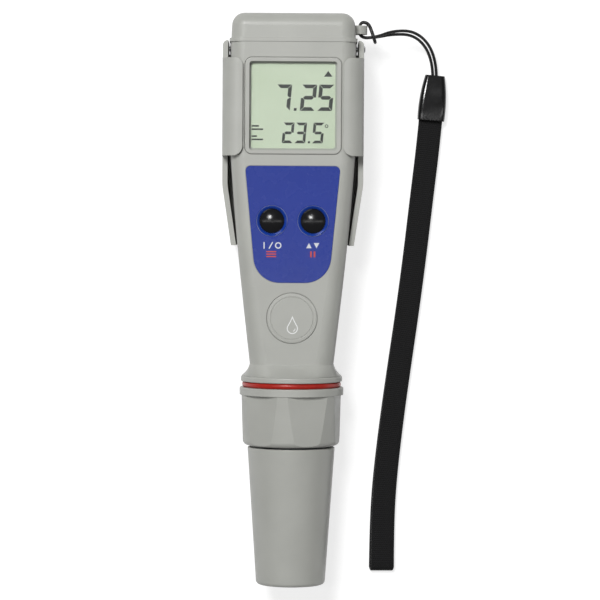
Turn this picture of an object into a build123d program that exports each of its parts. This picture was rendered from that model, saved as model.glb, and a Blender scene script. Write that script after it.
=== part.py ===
from build123d import *
import os
from math import cos, pi, sin, tan

# A pocket tester for water, lying on its back on a table with the display up. Millimetres.
# +Z is up, out of the display. +Y runs along the tester towards its battery cap.
# +X is to the right of someone who reads the display.
# The origin is on the table, under the middle of the tester's length.

# Lengths along the tester, from the protective cap's end up to the battery cap's top
CAP_LENGTH = 42.45
CAP_MOUTH_GAP = 0.6
COLLAR_LENGTH = 17.95
ORING_SPACE = 1.75
FLANGE_THICK = 1.8
FLARE_LENGTH = 3.7
BODY_LENGTH = 98.4
BATTERY_CAP_LENGTH = 8.85

# Clearances
FIT = 0.1             # round a piece that sits still in its pocket
RUNNING_FIT = 0.05    # round a piece that turns or slides
SLIP = 0.3            # round a piece that is put in by hand

# Housing
BODY_WIDTH = 38.0
BODY_DEPTH = 23.0
EDGE_ROUND = 4.2
WALL = 1.8
TAPER_LENGTH = 63.5
TAPER_BOW = 0.35      # 0 is a straight taper and 1 a quarter of a sine wave
TAPER_SECTIONS = 7
NECK_WIDTH = 25.6
NECK_EDGE_ROUND = 5.5
FLANGE_R = 15.6
FLANGE_ROUND = 0.6
FLARE_MIDDLE = 0.45   # share of the flare's length at which its middle section stands
FLARE_WIDER = 1.3     # how much that section is wider, deeper and rounder than the neck
FLARE_DEEPER = 2.0
FLARE_ROUNDER = 1.8
BULKHEAD_THICK = 2.0
NECK_BORE_DEPTH = 18.5
NECK_BORE_R = 9.3
SPIGOT_R = 13.4
SPIGOT_LENGTH = 12.0

# Window over the display
WINDOW_DROP = 19.5    # from the battery cap's seam down to the window's middle
BEZEL_SIZE = 29.4
BEZEL_ROUND = 2.2
BEZEL_PROUD = 0.5
BEZEL_EDGE_ROUND = 0.3
OPENING_WIDTH = 26.6
OPENING_HEIGHT = 26.9
OPENING_ROUND = 0.9
LENS_SIZE = 28.0
LENS_THICK = 1.0
LENS_SEAT_DEPTH = 1.4
VIEW_WIDTH = 25.6
VIEW_HEIGHT = 25.8

# Front label
LABEL_GAP = 3.6       # from the bezel down to the label's top edge
LABEL_LENGTH = 35.5
LABEL_TOP_WIDTH = 29.0
LABEL_END_WIDTH = 22.2
LABEL_TOP_ROUND = 1.5
LABEL_END_ROUND = 8.0
LABEL_THICK = 0.25
LABEL_RECESS = 0.2

# Buttons
BUTTON_DROP = 16.7    # from the label's top edge down to the buttons
BUTTON_SPACING = 12.54
BUTTON_R = 3.7
BUTTON_PROUD = 0.9
BUTTON_DOME = 1.2
BUTTON_TRAVEL = 0.5
BUTTON_SKIRT_R = 4.9
BUTTON_SKIRT_THICK = 0.8
RING_R = 4.65
RING_DEPTH = 1.0
RING_SLOPE = 0.45
RING_RIM_WIDTH = 0.25
RING_PROUD = 0.1      # over the label

# Round seal badge under the label
BADGE_GAP = 3.1
BADGE_R = 7.7
BADGE_FACE_R = 6.5
BADGE_DEPTH = 0.6
BADGE_BEVEL = 0.2
BADGE_BEVEL_DEPTH = 0.15
BADGE_CROWN = 0.05
BADGE_GROOVE = 0.15
BADGE_GROOVE_DEPTH = 0.1

# Collar that screws the electrode to the housing
COLLAR_RIM_R = 16.0
COLLAR_RIM_LENGTH = 2.35
COLLAR_TOP_R = 15.8
COLLAR_END_R = 14.9
COLLAR_END_ROUND = 1.7
COLLAR_FLATS = 6
FLAT_DISTANCE = 14.4
FLAT_TURN = 20.0      # degrees from the display's side to the nearest flat
COLLAR_LIP_R = 12.2
COLLAR_LIP_LENGTH = 5.7
COLLAR_RIM_ROUND = 0.35

# Electrode module
ELECTRODE_FLANGE_R = 13.2
ELECTRODE_FLANGE_THICK = 1.8
PLUG_LENGTH = 18.0
STUB_R = 11.4
STUB_LENGTH = 12.1    # from the flange's lower face to the step that the cap sits on
STEM_R = 9.2
STEM_LENGTH = 15.0
GUARD_LENGTH = 12.0
GUARD_R = 8.8
GUARD_PRONGS = 4
GUARD_GAP = 7.0
GUARD_WALL = 1.5
GUARD_TIP_ROUND = 0.6
PLUG_ROUND = 0.6
SENSOR_SEAT = 2.0     # depth of the hole that a sensor stands in
BULB_REACH = 5.0      # from the stem down to the bulb's middle
BULB_NECK = 0.6       # how much thinner the bulb's tube is
GLASS_BULB_R = 2.9
PROBE_R = 1.1
PROBE_REACH = 8.0
PROBE_ROUND = 0.9
ORP_PIN_R = 0.5
ORP_PIN_REACH = 6.0
ORP_PIN_ROUND = 0.4
JUNCTION_R = 1.2
JUNCTION_REACH = 0.6
JUNCTION_ROUND = 0.3
CONTACTS = 6
CONTACT_R = 0.45
CONTACT_RING_R = 3.6
CONTACT_LENGTH = 4.4

# Protective cap
CAP_MOUTH_R = 13.45
CAP_END_R = 10.6
CAP_WALL = 1.4
CAP_BORE_R = 11.7
CAP_STEP_R = 10.9
CAP_END_ROUND = 1.2
CAP_MOUTH_ROUND = 0.3
CAP_FLOOR_ROUND = 1.0

# Seals of round wire
SEAL_WIRE_R = 0.6
NECK_RING_WIDTH = 1.8
NECK_RING_ROUND = 0.8
PLUG_SEAL_DROP = 5.0
CAP_SEAL_DROP = 9.0

# Clip frame behind the tester and round its sides
FRAME_WALL = 1.6
FRAME_SIDE_GAP = 1.0  # from the housing out to the frame
FRAME_BACK_GAP = 0.4  # and back to its plate
FRAME_RISE = 4.0      # of its side walls over the long axis
FRAME_END_GAP = 0.45  # at its slim end
FRAME_ABOVE_SEAM = 0.7
FRAME_LENGTH = 62.8
FRAME_BEND = 18.5     # length of the stretch that leans in at the lower end
FRAME_BACK_ROUND = 2.0
FRAME_BEND_ROUND = 14.0
EAR_DROP = 2.4        # below the frame's back
EAR_LOW_ROUND = 1.0
EAR_TOP_ROUND = 1.2
EAR_SIDE_ROUND = 1.5  # seen from the front
PAD_WIDTH = 16.0      # of the two pads that the housing's back rests on
PAD_LENGTH = 4.0
ARM_LENGTH = 29.8
ARM_TIP_GAP = 0.65    # from the bezel to an arm's tip
ARM_PROUD = 1.25
ARM_THICK = 1.1
ARM_CORNER_ROUND = 5.0
ARM_TOP_ROUND = 2.4
ARM_END_ROUND = 3.0
ARM_DROP = 0.3        # from the window's middle down to the arms' middle
ARM_INNER_LESS = 0.6  # by which the inner corner's round is smaller

# Pocket clip, a sprung lever on a pin across the frame
HINGE_DROP = 1.8      # from the frame's top end down to the pin
HINGE_LOWER = 0.8     # than the frame's back
PIN_R = 0.9
PIN_HEAD_R = 1.25
PIN_HEAD_PROUD = 0.9
PIN_BLIND = 1.0       # wall left over the pin's left end
KNUCKLE_R = 1.6
KNUCKLE_GAP = 5.0     # room for the spring in the middle of the knuckle
LEVER_LENGTH = 52.8
LEVER_THICK = 1.8
LEVER_GAP = 0.7       # from the frame's back down to the lever
LEVER_WIDTH = 24.0
LEVER_END_WIDTH = 14.0
LEVER_SHOULDER = 3.0  # from the hinge down to where the blade starts to narrow
LEVER_WAIST = 10.0    # and to where it has done so
LEVER_SHOULDER_ROUND = 1.5
LEVER_WAIST_ROUND = 5.0
LEVER_END_ROUND = 5.5
LEVER_NIB = 0.6
LEVER_NIB_RISE = 4.0  # from the blade's end up to its nib
LEVER_NIB_LESS = 5.0  # by which the nib is shorter than the blade's end
SPRING_WIRE_R = 0.15
SPRING_COIL_R = 1.25
SPRING_TURNS = 3.5
SPRING_PITCH = 0.9
SPRING_CORNERS = 8    # of each turn's line
SPRING_LEVER_LEG = 7.0
SPRING_FRAME_LEG = 4.2

# Battery compartment
SPIGOT_DEPTH = 2.5    # of the battery cap into the housing
GASKET_THICK = 0.8
GASKET_WIDTH = 0.9
CAP_TOP_ROUND = 3.9
CAP_TOP_LESS = 0.4    # by which its top is narrower on each side
CAP_LIP_PROUD = 0.5   # at the sides
CAP_LIP_RISE = 0.2    # at the front and the back
CAP_LIP_LENGTH = 1.1
SCREW_SPACING = 29.0
SCREW_R = 1.1
SCREW_LENGTH = 15.0
SCREW_HEAD_R = 2.1
SCREW_HEAD_THICK = 1.5
SCREW_RECESS = 2.2
SCREW_HEAD_ROUND = 0.6
SCREW_CROSS = 3.0
SCREW_CROSS_WIDTH = 0.6
SCREW_CROSS_DEPTH = 0.8
BOSS_HALF = 2.3
BOSS_LENGTH = 8.0
BOSS_GAP = 0.2        # under the battery cap's spigot
BOSS_FLOOR = 1.0      # left under a screw hole
CAP_ROOM_SIDE = 0.6   # wall between the room over the cells and a screw boss
CAP_ROOM_WALL = 1.3
CAP_ROOM_ROUND = 1.0
CELL_R = 5.8
CELL_THICK = 5.4
CELLS = 4
CELL_END_THICK = 0.6  # of the raised end of a cell
CELL_END_LESS = 1.0   # and how much smaller its radius is
CELLS_DROP = 2.0      # from the screw bosses' middle down to the cells
CARRIER_WALL = 0.8
CARRIER_FLOOR = 0.7
CARRIER_END = 1.2
CARRIER_RISE = 2.0    # of its walls over the cells' middle
CONTACT_PLATE = 0.3
CONTACT_PLATE_LESS = 0.8
CONTACT_TONGUE = 4.0

# Lanyard lug on the battery cap
LUG_REACH = 3.6
LUG_THICK = 2.6
LUG_HEIGHT = 7.2
LUG_DROP = 4.75       # from the battery cap's top down to the lug's middle
EYE_WIDTH = 2.2
EYE_HEIGHT = 4.2
LUG_BAR = 1.3
LUG_ROUND = 2.2
LUG_ROOT = 2.0        # sunk into the battery cap
EYE_ROUND = 0.8

# Electronics
LCD_WIDTH = 29.0
LCD_HEIGHT = 30.0
LCD_THICK = 1.6
LCD_LEDGE = 1.5
HOLDER_WALL = 1.2
HOLDER_LIP = 0.8
ZEBRA_WIDTH = 2.0
ZEBRA_LENGTH = 27.0
BOARD_THICK = 1.0
CELL_GAP = 0.1        # from the cells to the board
BOARD_EDGE_GAP = 0.4
BOARD_END_GAP = 8.5   # from the bulkhead up to the board
BOARD_TOP_GAP = 1.0   # from the screw bosses down to the board
CHIPS = [             # x, width, length, thickness and share of the way up to the cells of each part on the back
    (0, 9, 9, 1.4, 0.8), (-8, 5, 4, 1.3, 0.58), (8, 5, 4, 1.3, 0.58), (7, 6, 3.4, 1.2, 0.33),
    (-7, 3.2, 1.6, 0.9, 0.33), (-7, 3.2, 1.6, 0.9, 0.4), (0, 8, 3, 2.4, 0.46), (0, 4, 4, 1.1, 0.25)]
RAIL_WIDTH = 1.6
RAIL_THICK = 1.4
SWITCH_SIZE = 6.0
SWITCH_ROUND = 0.4
SWITCH_STEM_R = 1.7
SWITCH_STEM = 0.6
SOCKET_R = 6.0
SOCKET_FLANGE_R = 8.0
SOCKET_HEIGHT = 8.0
SOCKET_FLANGE_THICK = 2.0
LEAD_WIDTH = 8.0
LEAD_THICK = 0.5
LEAD_FOOT = 1.0       # below the lowest tail
LEAD_OVERLAP = 3.0    # under the board
LEAD_BEND = 1.1       # outer radius of its bend
TAIL_LENGTH = 2.0

# Lanyard: a thin cord, a ferrule and a doubled wrist strap
CORD_D = 0.95
ARC_SHARE = 0.45      # of the shorter run beside a corner that its arc takes up
STRAP_WIDTH = 7.3
STRAP_THICK = 2.4
FERRULE_TOP_WIDTH = 6.1
FERRULE_WIDTH = 8.4
FERRULE_LENGTH = 14.1
FERRULE_THICK = 4.6
FERRULE_TOP_THICK = 3.6
FERRULE_WAIST = 0.45  # share of its length at which it is almost full width
FERRULE_WAIST_WIDTH = 8.15
FERRULE_ROUND = 0.32  # its corners, as a share of its thickness
FERRULE_BORE_DEPTH = 4.0
CORD_BORE_WIDTH = 3.2
CORD_BORE_THICK = 1.4
CORD_BORE_DEPTH = 2.6
CORD_BORE_ROUND = 0.6

# Stations worked out from the lengths, with the origin in the middle of the whole
TOTAL_LENGTH = (CAP_LENGTH + CAP_MOUTH_GAP + COLLAR_LENGTH + ORING_SPACE + FLANGE_THICK + FLARE_LENGTH
                + BODY_LENGTH + BATTERY_CAP_LENGTH)
CAP_END_Y = -TOTAL_LENGTH / 2
CAP_MOUTH_Y = CAP_END_Y + CAP_LENGTH
COLLAR_END_Y = CAP_MOUTH_Y + CAP_MOUTH_GAP
COLLAR_TOP_Y = COLLAR_END_Y + COLLAR_LENGTH
FLANGE_Y = COLLAR_TOP_Y + ORING_SPACE
FLARE_Y = FLANGE_Y + FLANGE_THICK
NECK_Y = FLARE_Y + FLARE_LENGTH
TAPER_TOP_Y = NECK_Y + TAPER_LENGTH
SEAM_Y = NECK_Y + BODY_LENGTH
TOP_Y = SEAM_Y + BATTERY_CAP_LENGTH
SPIGOT_END_Y = FLANGE_Y - SPIGOT_LENGTH
BORE_TOP_Y = SPIGOT_END_Y + NECK_BORE_DEPTH
CAVITY_END_Y = BORE_TOP_Y + BULKHEAD_THICK
WINDOW_Y = SEAM_Y - WINDOW_DROP
LABEL_TOP_Y = WINDOW_Y - BEZEL_SIZE / 2 - LABEL_GAP
LABEL_END_Y = LABEL_TOP_Y - LABEL_LENGTH
BUTTON_Y = LABEL_TOP_Y - BUTTON_DROP
BADGE_Y = LABEL_END_Y - BADGE_GAP - BADGE_R
FRAME_TOP_Y = SEAM_Y + FRAME_ABOVE_SEAM
FRAME_END_Y = FRAME_TOP_Y - FRAME_LENGTH
FRAME_BEND_Y = FRAME_END_Y + FRAME_BEND
HINGE_Y = FRAME_TOP_Y - HINGE_DROP

# Heights: the tester lies on the rim of its collar and on the pocket clip
AXIS_Z = max(COLLAR_RIM_R, BODY_DEPTH / 2 + FRAME_BACK_GAP + FRAME_WALL + LEVER_GAP + LEVER_THICK)
FRONT_Z = AXIS_Z + BODY_DEPTH / 2
BACK_Z = AXIS_Z - BODY_DEPTH / 2
INNER_FRONT_Z = FRONT_Z - WALL
INNER_BACK_Z = BACK_Z + WALL
LENS_SEAT_Z = FRONT_Z - LENS_SEAT_DEPTH
FRAME_WIDTH = BODY_WIDTH + 2 * (FRAME_SIDE_GAP + FRAME_WALL)
FRAME_BACK_Z = BACK_Z - FRAME_BACK_GAP - FRAME_WALL
FRAME_WALL_TOP_Z = AXIS_Z + FRAME_RISE
HINGE_Z = FRAME_BACK_Z - HINGE_LOWER
LEVER_TOP_Z = FRAME_BACK_Z - LEVER_GAP
BOARD_Z = INNER_BACK_Z + CARRIER_FLOOR + 2 * CELL_R + CELL_GAP
BOARD_TOP_Z = BOARD_Z + BOARD_THICK
LONG_AXIS = Axis((0, 0, AXIS_Z), (0, 1, 0))
PAST = 1.0            # how far a cutting block runs past the face that it opens


# Helpers for drawing square to the tester's three directions

def across(y, x=0.0, z=AXIS_Z):
    """The plane square to the long axis at y, with local x along +X and local y along +Z."""
    return Plane(origin=(x, y, z), x_dir=(1, 0, 0), z_dir=(0, -1, 0))


def along(outline, top, length, x=0.0, z=AXIS_Z):
    """An outline drawn square to the long axis, made solid from top down over length."""
    return extrude(across(top, x, z) * outline, length)


def upright(outline, low, high):
    """An outline drawn in plan, made solid between two heights."""
    return extrude(Plane.XY.offset(low) * outline, high - low)


def plan(points, rounds=None):
    """A flat face through points, some of its corners rounded. rounds maps a corner's number to its radius."""
    face = make_face(Polyline(*points, close=True))
    for corner, radius in (rounds or {}).items():
        spot = Vector(*points[corner])
        face = fillet(face.vertices().sort_by(lambda v: (Vector(v.X, v.Y) - spot).length)[0], radius)
    return face


def turned(points, rounds=None, axis_x=0.0, axis_z=AXIS_Z):
    """A solid turned about a line along Y, from (radius, y) points."""
    face = Plane((axis_x, 0, axis_z)) * plan(points, rounds)
    return revolve(face, Axis((axis_x, 0, axis_z), (0, 1, 0)))


def post(x, y, radius, low, high):
    """A round post that stands up along Z."""
    return upright(Pos(x, y) * Circle(radius), low, high)


def mirrored(points):
    """Points on the right, followed by their mirror images in reverse order."""
    return points + [(-x, y) for x, y in reversed(points)]


# Body shape

def taper_share(y):
    """0 at the neck and 1 at the full width above the taper."""
    share = min(1.0, max(0.0, (y - NECK_Y) / TAPER_LENGTH))
    return (1 - TAPER_BOW) * share + TAPER_BOW * sin(pi / 2 * share)


def half_width(y):
    return (NECK_WIDTH + (BODY_WIDTH - NECK_WIDTH) * taper_share(y)) / 2


def body_outline(y, inset=0.0):
    """The housing's cross section at y, drawn inset from its outside."""
    round_ = NECK_EDGE_ROUND + (EDGE_ROUND - NECK_EDGE_ROUND) * taper_share(y)
    return RectangleRounded(2 * (half_width(y) - inset), BODY_DEPTH - 2 * inset, round_ - inset)


def body_form(end_y, inset=0.0):
    """The housing's form down to end_y: a straight part over a tapered one."""
    stations = [TAPER_TOP_Y + (end_y - TAPER_TOP_Y) * i / (TAPER_SECTIONS - 1) for i in range(TAPER_SECTIONS)]
    straight = along(body_outline(SEAM_Y, inset), SEAM_Y, SEAM_Y - TAPER_TOP_Y)
    return straight + loft([across(y) * body_outline(y, inset) for y in stations])


# Housing

def screw_blocks(top, length):
    """Two square blocks in the housing's side walls, for the battery cap's screws."""
    block = None
    inner = half_width(SEAM_Y) - WALL
    for side in (-1, 1):
        low = SCREW_SPACING / 2 - BOSS_HALF
        piece = along(Rectangle(inner - low, 2 * BOSS_HALF), top, length, x=side * (low + inner) / 2)
        block = piece if block is None else block + piece
    return block


def screw_holes(radius, top, length):
    holes = [along(Circle(radius), top, length, x=side * SCREW_SPACING / 2) for side in (-1, 1)]
    return holes[0] + holes[1]


BOSS_TOP_Y = SEAM_Y - SPIGOT_DEPTH - BOSS_GAP
BOARD_TOP_Y = BOSS_TOP_Y - BOARD_TOP_GAP
BOARD_END_Y = CAVITY_END_Y + BOARD_END_GAP


def board_outline(grow=0.0):
    """The circuit board in plan: straight sides beside the display, tapered below."""
    wide = half_width(TAPER_TOP_Y) - WALL - BOARD_EDGE_GAP + grow
    slim = half_width(BOARD_END_Y) - WALL - BOARD_EDGE_GAP + grow
    return plan(mirrored([(wide, BOARD_TOP_Y), (wide, TAPER_TOP_Y), (slim, BOARD_END_Y)]))


def hollow():
    """The space inside the housing, less the rails for the board and the screw bosses."""
    space = body_form(CAVITY_END_Y, WALL)
    rails = space & upright(Pos(0, (BOARD_TOP_Y + BOARD_END_Y) / 2)
                            * Rectangle(BODY_WIDTH, BOARD_TOP_Y - BOARD_END_Y), BOARD_Z - RAIL_THICK, BOARD_Z)
    rails -= upright(board_outline(-RAIL_WIDTH + BOARD_EDGE_GAP), BOARD_Z - RAIL_THICK - PAST, BOARD_Z + PAST)
    rails -= upright(Pos(0, BOARD_END_Y) * Rectangle(BODY_WIDTH / 2, 4 * RAIL_WIDTH),
                     BOARD_Z - RAIL_THICK - PAST, BOARD_Z + PAST)
    bosses = screw_blocks(BOSS_TOP_Y, BOSS_LENGTH)
    bosses -= screw_holes(SCREW_R + RUNNING_FIT, BOSS_TOP_Y, BOSS_LENGTH - BOSS_FLOOR)
    return space - rails - bosses


def flare():
    """The neck spreads from the housing's section to the round flange in a hollow curve."""
    middle_y = NECK_Y - FLARE_MIDDLE * FLARE_LENGTH
    middle = RectangleRounded(NECK_WIDTH + FLARE_WIDER, BODY_DEPTH + FLARE_DEEPER,
                              NECK_EDGE_ROUND + FLARE_ROUNDER)
    return loft([across(NECK_Y) * body_outline(NECK_Y), across(middle_y) * middle,
                 across(FLARE_Y) * Circle(FLANGE_R - FLANGE_ROUND / 2)])


def flange():
    low = FLANGE_Y
    return turned([(0, FLARE_Y), (FLANGE_R, FLARE_Y), (FLANGE_R, low), (0, low)],
                  {1: FLANGE_ROUND, 2: FLANGE_ROUND / 2})


def label_outline(grow=0.0):
    """The label in plan: tapered sides, small round corners on top and large ones below."""
    top = LABEL_TOP_WIDTH / 2
    end = LABEL_END_WIDTH / 2
    face = plan([(top, LABEL_TOP_Y), (end, LABEL_END_Y), (-end, LABEL_END_Y), (-top, LABEL_TOP_Y)],
                {0: LABEL_TOP_ROUND, 1: LABEL_END_ROUND, 2: LABEL_END_ROUND, 3: LABEL_TOP_ROUND})
    return offset(face, grow) if grow else face


def button_places():
    return [(-BUTTON_SPACING / 2, BUTTON_Y), (BUTTON_SPACING / 2, BUTTON_Y)]


def main_housing():
    neck = along(Circle(SPIGOT_R), FLANGE_Y, SPIGOT_LENGTH)
    body = body_form(NECK_Y) + flare() + flange() + neck
    body -= hollow()
    body -= along(Circle(NECK_BORE_R), BORE_TOP_Y, NECK_BORE_DEPTH)
    body -= along(Circle(SOCKET_R + FIT), CAVITY_END_Y, BULKHEAD_THICK)
    body -= along(RectangleRounded(2 * (half_width(SEAM_Y) - WALL + GASKET_WIDTH),
                                   BODY_DEPTH - 2 * (WALL - GASKET_WIDTH), EDGE_ROUND - WALL + GASKET_WIDTH),
                  SEAM_Y, GASKET_THICK)
    body -= upright(Pos(0, WINDOW_Y) * RectangleRounded(BEZEL_SIZE + 2 * FIT, BEZEL_SIZE + 2 * FIT,
                                                        BEZEL_ROUND + FIT), LENS_SEAT_Z, FRONT_Z + PAST)
    body -= upright(Pos(0, WINDOW_Y) * RectangleRounded(VIEW_WIDTH, VIEW_HEIGHT, OPENING_ROUND),
                    INNER_FRONT_Z - PAST, LENS_SEAT_Z)
    body -= upright(label_outline(FIT), FRONT_Z - LABEL_RECESS, FRONT_Z + PAST)
    body -= post(0, BADGE_Y, BADGE_R + FIT, FRONT_Z - BADGE_DEPTH, FRONT_Z + PAST)
    for x, y in button_places():
        body -= post(x, y, BUTTON_R + FIT, INNER_FRONT_Z - PAST, FRONT_Z)
        body -= post(x, y, RING_R, FRONT_Z - RING_DEPTH, FRONT_Z + PAST)
    return body


# Window

def window_bezel():
    """A raised frame that holds the lens down in its recess."""
    top_z = FRONT_Z + BEZEL_PROUD
    frame = upright(Pos(0, WINDOW_Y) * RectangleRounded(BEZEL_SIZE, BEZEL_SIZE, BEZEL_ROUND), LENS_SEAT_Z, top_z)
    frame = fillet(frame.edges().group_by(Axis.Z)[-1], BEZEL_EDGE_ROUND)
    frame -= upright(Pos(0, WINDOW_Y) * RectangleRounded(OPENING_WIDTH, OPENING_HEIGHT, OPENING_ROUND),
                     LENS_SEAT_Z, top_z + PAST)
    frame -= upright(Pos(0, WINDOW_Y) * Rectangle(LENS_SIZE + 2 * FIT, LENS_SIZE + 2 * FIT),
                     LENS_SEAT_Z, LENS_SEAT_Z + LENS_THICK)
    return frame


def display_window():
    return upright(Pos(0, WINDOW_Y) * Rectangle(LENS_SIZE, LENS_SIZE), LENS_SEAT_Z, LENS_SEAT_Z + LENS_THICK)


# Label, buttons and badge

def front_label():
    film = upright(label_outline(), FRONT_Z - LABEL_RECESS, FRONT_Z - LABEL_RECESS + LABEL_THICK)
    for x, y in button_places():
        film -= post(x, y, RING_R + FIT, FRONT_Z - PAST, FRONT_Z + PAST)
    return film


def button_rings():
    """Two dished rings round the buttons."""
    seat = FRONT_Z - RING_DEPTH
    rim = FRONT_Z - LABEL_RECESS + LABEL_THICK + RING_PROUD
    bore = BUTTON_R + FIT
    ring = None
    for x, y in button_places():
        face = make_face(Polyline((bore, seat), (RING_R, seat), (RING_R, rim), (RING_R - RING_RIM_WIDTH, rim),
                                  (bore, rim - RING_PROUD - RING_SLOPE), close=True))
        one = Pos(x, y) * revolve(Plane.XZ * face, Axis.Z)
        ring = one if ring is None else ring + one
    return ring


def button(x):
    """A domed button with a skirt that stops it under the front wall."""
    top = FRONT_Z + BUTTON_PROUD
    skirt = INNER_FRONT_Z - BUTTON_SKIRT_THICK
    sphere_r = (BUTTON_R ** 2 + BUTTON_DOME ** 2) / (2 * BUTTON_DOME)
    middle = BUTTON_R / 2
    fall = sphere_r - (sphere_r ** 2 - middle ** 2) ** 0.5
    with BuildSketch(Plane.XZ) as section:
        with BuildLine():
            Polyline((0, top), (0, skirt), (BUTTON_SKIRT_R, skirt), (BUTTON_SKIRT_R, INNER_FRONT_Z),
                     (BUTTON_R, INNER_FRONT_Z), (BUTTON_R, top - BUTTON_DOME))
            ThreePointArc((BUTTON_R, top - BUTTON_DOME), (middle, top - fall), (0, top))
        make_face()
    return Pos(x, BUTTON_Y) * revolve(section.sketch, Axis.Z)


def seal_badge():
    """A round badge with a bevelled rim and a fine step round its face."""
    seat = FRONT_Z - BADGE_DEPTH
    crown = FRONT_Z + BADGE_CROWN
    face = make_face(Polyline((0, seat), (BADGE_R, seat), (BADGE_R, FRONT_Z - BADGE_BEVEL_DEPTH),
                              (BADGE_R - BADGE_BEVEL, FRONT_Z), (BADGE_FACE_R + BADGE_GROOVE, crown),
                              (BADGE_FACE_R, FRONT_Z - BADGE_GROOVE_DEPTH), (BADGE_FACE_R - BADGE_GROOVE, crown),
                              (0, crown), close=True))
    return Pos(0, BADGE_Y) * revolve(Plane.XZ * face, Axis.Z)


# Display and circuit board

HOLDER_TOP_Z = INNER_FRONT_Z - HOLDER_LIP
LCD_Z = INNER_FRONT_Z - LCD_THICK


def lcd_panel():
    """Two glass plates, the lower one with a ledge at the top and at the bottom for its contacts."""
    half = LCD_THICK / 2
    lower = upright(Pos(0, WINDOW_Y) * Rectangle(LCD_WIDTH, LCD_HEIGHT), LCD_Z, LCD_Z + half)
    upper = upright(Pos(0, WINDOW_Y) * Rectangle(LCD_WIDTH, LCD_HEIGHT - LCD_LEDGE), LCD_Z + half, INNER_FRONT_Z)
    return lower + upper


def zebra_places():
    reach = (LCD_HEIGHT - ZEBRA_WIDTH) / 2
    return [WINDOW_Y - reach, WINDOW_Y + reach]


def zebra_strips():
    """Two rubber strips that join the board to the display."""
    strips = [upright(Pos(0, y) * Rectangle(ZEBRA_LENGTH, ZEBRA_WIDTH), BOARD_TOP_Z, LCD_Z) for y in zebra_places()]
    return strips[0] + strips[1]


def lcd_holder():
    """A frame on the board that carries the display and keeps the strips in line."""
    width = LCD_WIDTH + 2 * (HOLDER_WALL + FIT)
    height = LCD_HEIGHT + 2 * (HOLDER_WALL + FIT)
    place = Pos(0, WINDOW_Y)
    frame = upright(place * Rectangle(width, height), BOARD_TOP_Z, HOLDER_TOP_Z)
    frame -= upright(place * Rectangle(LCD_WIDTH + 2 * FIT, LCD_HEIGHT + 2 * FIT), LCD_Z, HOLDER_TOP_Z)
    inner = LCD_HEIGHT - 2 * ZEBRA_WIDTH - 2 * HOLDER_WALL
    frame -= upright(place * Rectangle(ZEBRA_LENGTH, inner), BOARD_TOP_Z, LCD_Z)
    for y in zebra_places():
        frame -= upright(Pos(0, y) * Rectangle(ZEBRA_LENGTH + 2 * FIT, ZEBRA_WIDTH + 2 * FIT), BOARD_TOP_Z, LCD_Z)
    return frame


def circuit_board():
    return upright(board_outline(), BOARD_Z, BOARD_TOP_Z)


def board_chips():
    """Chips and other parts soldered to the back of the board, and a clock crystal."""
    stretch = CARRIER_Y - CARRIER_LENGTH / 2 - BOARD_END_Y
    parts = [upright(Pos(x, BOARD_END_Y + share * stretch) * Rectangle(width, length), BOARD_Z - thick, BOARD_Z)
             for x, width, length, thick, share in CHIPS]
    return Compound(children=parts)


def tact_switches():
    """A square switch on the board under each button, reached at the end of the button's travel."""
    top = INNER_FRONT_Z - BUTTON_SKIRT_THICK - BUTTON_TRAVEL - RUNNING_FIT
    switches = []
    for x, y in button_places():
        body = upright(Pos(x, y) * RectangleRounded(SWITCH_SIZE, SWITCH_SIZE, SWITCH_ROUND), BOARD_TOP_Z,
                       top - SWITCH_STEM)
        switches.append(body + post(x, y, SWITCH_STEM_R, top - SWITCH_STEM, top))
    return Compound(children=switches)


# Electrode socket and its lead

def contact_places():
    return [(CONTACT_RING_R * cos(2 * pi * i / CONTACTS), CONTACT_RING_R * sin(2 * pi * i / CONTACTS))
            for i in range(CONTACTS)]


SOCKET_TOP_Y = BORE_TOP_Y + SOCKET_HEIGHT


def electrode_socket():
    """The fixed half of the electrode's plug, seated on the bulkhead."""
    body = along(Circle(SOCKET_R), SOCKET_TOP_Y, SOCKET_HEIGHT)
    body += along(Circle(SOCKET_FLANGE_R), CAVITY_END_Y + SOCKET_FLANGE_THICK, SOCKET_FLANGE_THICK)
    for x, z in contact_places():
        body -= along(Circle(CONTACT_R + FIT), BORE_TOP_Y + CONTACT_LENGTH + SLIP, CONTACT_LENGTH + SLIP,
                      x=x, z=AXIS_Z + z)
    return body


def socket_tails():
    """The ends of the socket's contacts, where the lead is soldered on."""
    tails = [along(Circle(CONTACT_R), SOCKET_TOP_Y + TAIL_LENGTH, TAIL_LENGTH, x=x, z=AXIS_Z + z)
             for x, z in contact_places()]
    return Compound(children=tails)


def sensor_lead():
    """A flat lead from the socket's tails, bent up to the underside of the board."""
    foot_y = SOCKET_TOP_Y + TAIL_LENGTH
    low_z = AXIS_Z - CONTACT_RING_R - LEAD_FOOT
    end_y = BOARD_END_Y + LEAD_OVERLAP
    spine = [(foot_y, low_z), (foot_y, BOARD_Z), (end_y, BOARD_Z), (end_y, BOARD_Z - LEAD_THICK),
             (foot_y + LEAD_THICK, BOARD_Z - LEAD_THICK), (foot_y + LEAD_THICK, low_z)]
    face = plan(spine, {4: LEAD_BEND - LEAD_THICK, 1: LEAD_BEND})
    return extrude(Plane(origin=(-LEAD_WIDTH / 2, 0, 0), x_dir=(0, 1, 0), z_dir=(1, 0, 0)) * face, LEAD_WIDTH)


# Batteries

CARRIER_HALF = CELLS * CELL_THICK / 2 + CONTACT_PLATE + CARRIER_WALL
CARRIER_Y = BOSS_TOP_Y - BOSS_LENGTH / 2 - CELL_R - CELLS_DROP
CELL_Z = INNER_BACK_Z + CARRIER_FLOOR + CELL_R
CARRIER_LENGTH = 2 * (CELL_R + CARRIER_END)


def lying(radius, length, x, y, z):
    """A round bar along X."""
    return Pos(x, y, z) * Rot(0, 90, 0) * Cylinder(radius, length)


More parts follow.
